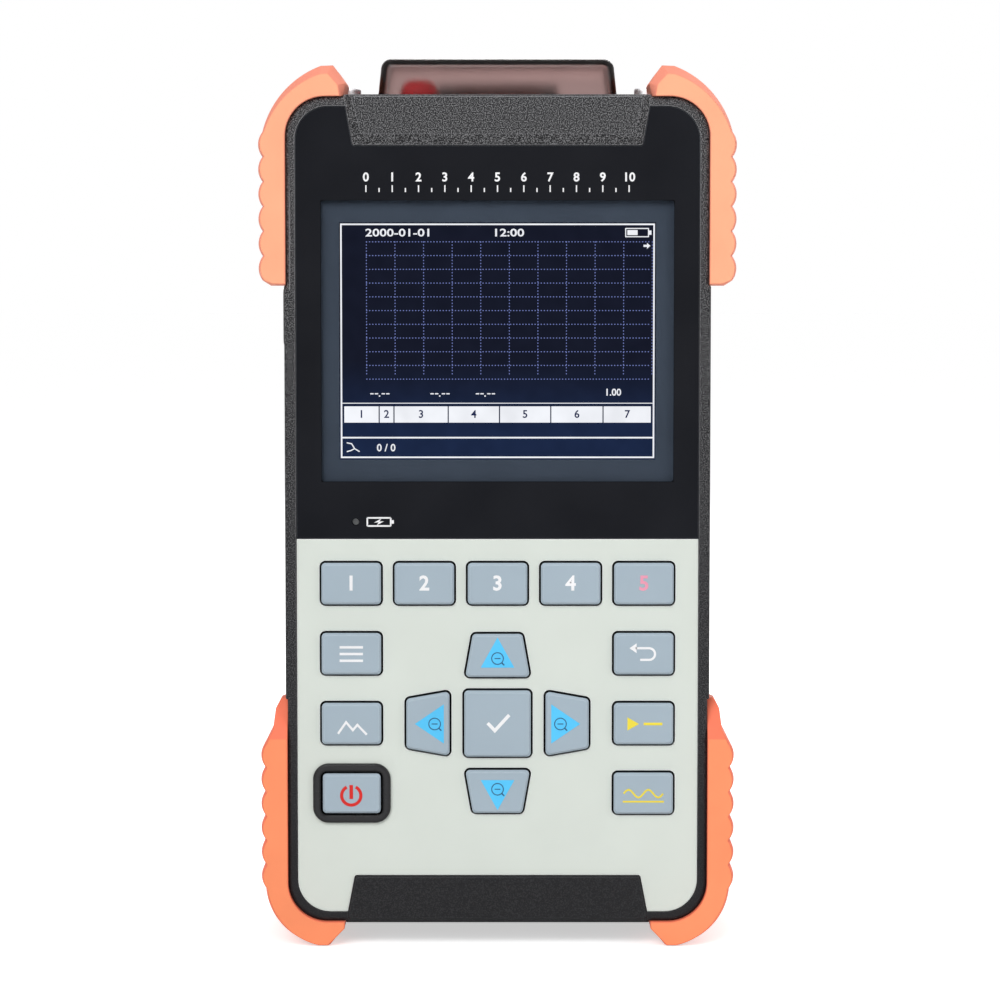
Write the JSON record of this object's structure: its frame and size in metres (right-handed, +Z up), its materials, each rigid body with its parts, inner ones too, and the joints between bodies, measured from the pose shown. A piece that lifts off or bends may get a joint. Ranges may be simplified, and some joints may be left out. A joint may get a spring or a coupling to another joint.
{
  "type": "optical time domain reflectometer",
  "caption": "Handheld fibre test instrument with a display window, keypad, rubber corner guards, hinged connector cover and tilt stand.",
  "frame": {"origin": "on the ground under the middle of the instrument, which stands on its two lower corner guards", "axes": "+X to the right of a user who faces the display, +Y from the display to the back, +Z up"},
  "size_m": [0.1056, 0.046, 0.1977],
  "materials": {
    "shell": "fine spark texture",
    "gasket": "matt",
    "steel": "satin",
    "lens": "polished, clear",
    "ink": "printed black",
    "plate": "satin",
    "key": "satin",
    "silicone": "matt",
    "black_rubber": "satin",
    "led": "frosted",
    "display_frame": "satin",
    "display": "smooth",
    "circuit_board": "solder mask",
    "module_case": "satin",
    "battery": "shrink film",
    "black_plastic": "matt",
    "guard": "satin",
    "smoked_plastic": "polished, smoked",
    "nickel": "nickel plated",
    "red_plastic": "soft"
  },
  "bodies": {
    "housing": {"front_shell": "shell", "rear_shell": "shell", "housing_gasket": "gasket", "housing_screws": "steel", "screen_lens": "lens", "lens_ink_mask": "ink", "keypad_plate": "plate", "keypad_membrane": "silicone", "dome_contacts": "steel", "power_key_bezel": "black_rubber", "charge_led": "led", "lcd_frame": "display_frame", "lcd_panel": "display", "main_pcb": "circuit_board", "pcb_screws": "steel", "optical_module": "module_case", "battery_pack": "battery", "battery_door": "shell", "battery_door_screws": "steel", "buzzer": "black_plastic", "guard_top_left": "guard", "guard_top_right": "guard", "guard_bottom_left": "guard", "guard_bottom_right": "guard", "dust_cover_hinge_pin": "steel", "top_connector_plate": "black_plastic", "top_plate_screws": "nickel", "otdr_port_adapter": "nickel", "vfl_port_adapter": "nickel", "power_meter_port": "nickel", "vfl_dust_cap": "red_plastic", "tilt_stand_pin": "steel", "flap_hinge_pin": "steel", "dc_jack": "black_plastic", "usb_port": "nickel", "io_board": "circuit_board"},
    "key_function_1": {"key_function_1": "key"},
    "key_function_2": {"key_function_2": "key"},
    "key_function_3": {"key_function_3": "key"},
    "key_function_4": {"key_function_4": "key"},
    "key_function_5": {"key_function_5": "key"},
    "key_menu": {"key_menu": "key"},
    "key_up": {"key_up": "key"},
    "key_back": {"key_back": "key"},
    "key_zoom": {"key_zoom": "key"},
    "key_left": {"key_left": "key"},
    "key_ok": {"key_ok": "key"},
    "key_right": {"key_right": "key"},
    "key_real_time": {"key_real_time": "key"},
    "key_power": {"key_power": "key"},
    "key_down": {"key_down": "key"},
    "key_average": {"key_average": "key"},
    "dust_cover": {"dust_cover": "smoked_plastic"},
    "tilt_stand": {"tilt_stand": "black_plastic", "tilt_stand_foot": "black_rubber"},
    "side_port_flap": {"side_port_flap": "black_rubber"}
  },
  "joints": [
    {"name": "key_function_1_press", "type": "slide", "parent": "housing", "child": "key_function_1", "axis": [0, 1, 0], "range_m": [0, 0.001], "stiffness_N_per_m": 400},
    {"name": "key_function_2_press", "type": "slide", "parent": "housing", "child": "key_function_2", "axis": [0, 1, 0], "range_m": [0, 0.001], "stiffness_N_per_m": 400},
    {"name": "key_function_3_press", "type": "slide", "parent": "housing", "child": "key_function_3", "axis": [0, 1, 0], "range_m": [0, 0.001], "stiffness_N_per_m": 400},
    {"name": "key_function_4_press", "type": "slide", "parent": "housing", "child": "key_function_4", "axis": [0, 1, 0], "range_m": [0, 0.001], "stiffness_N_per_m": 400},
    {"name": "key_function_5_press", "type": "slide", "parent": "housing", "child": "key_function_5", "axis": [0, 1, 0], "range_m": [0, 0.001], "stiffness_N_per_m": 400},
    {"name": "key_menu_press", "type": "slide", "parent": "housing", "child": "key_menu", "axis": [0, 1, 0], "range_m": [0, 0.001], "stiffness_N_per_m": 400},
    {"name": "key_up_press", "type": "slide", "parent": "housing", "child": "key_up", "axis": [0, 1, 0], "range_m": [0, 0.001], "stiffness_N_per_m": 400},
    {"name": "key_back_press", "type": "slide", "parent": "housing", "child": "key_back", "axis": [0, 1, 0], "range_m": [0, 0.001], "stiffness_N_per_m": 400},
    {"name": "key_zoom_press", "type": "slide", "parent": "housing", "child": "key_zoom", "axis": [0, 1, 0], "range_m": [0, 0.001], "stiffness_N_per_m": 400},
    {"name": "key_left_press", "type": "slide", "parent": "housing", "child": "key_left", "axis": [0, 1, 0], "range_m": [0, 0.001], "stiffness_N_per_m": 400},
    {"name": "key_ok_press", "type": "slide", "parent": "housing", "child": "key_ok", "axis": [0, 1, 0], "range_m": [0, 0.001], "stiffness_N_per_m": 400},
    {"name": "key_right_press", "type": "slide", "parent": "housing", "child": "key_right", "axis": [0, 1, 0], "range_m": [0, 0.001], "stiffness_N_per_m": 400},
    {"name": "key_real_time_press", "type": "slide", "parent": "housing", "child": "key_real_time", "axis": [0, 1, 0], "range_m": [0, 0.001], "stiffness_N_per_m": 400},
    {"name": "key_power_press", "type": "slide", "parent": "housing", "child": "key_power", "axis": [0, 1, 0], "range_m": [0, 0.001], "stiffness_N_per_m": 400},
    {"name": "key_down_press", "type": "slide", "parent": "housing", "child": "key_down", "axis": [0, 1, 0], "range_m": [0, 0.001], "stiffness_N_per_m": 400},
    {"name": "key_average_press", "type": "slide", "parent": "housing", "child": "key_average", "axis": [0, 1, 0], "range_m": [0, 0.001], "stiffness_N_per_m": 400},
    {"name": "dust_cover_hinge", "type": "hinge", "parent": "housing", "child": "dust_cover", "pos_m": [0, 0.0146, 0.1916], "axis": [-1, 0, 0], "range_deg": [0, 110]},
    {"name": "tilt_stand_hinge", "type": "hinge", "parent": "housing", "child": "tilt_stand", "pos_m": [0, 0.02015, 0.152], "axis": [1, 0, 0], "range_deg": [0, 38]},
    {"name": "side_flap_hinge", "type": "hinge", "parent": "housing", "child": "side_port_flap", "pos_m": [-0.04705, 0.0184, 0.1404], "axis": [0, 0, -1], "range_deg": [0, 100]}
  ]
}
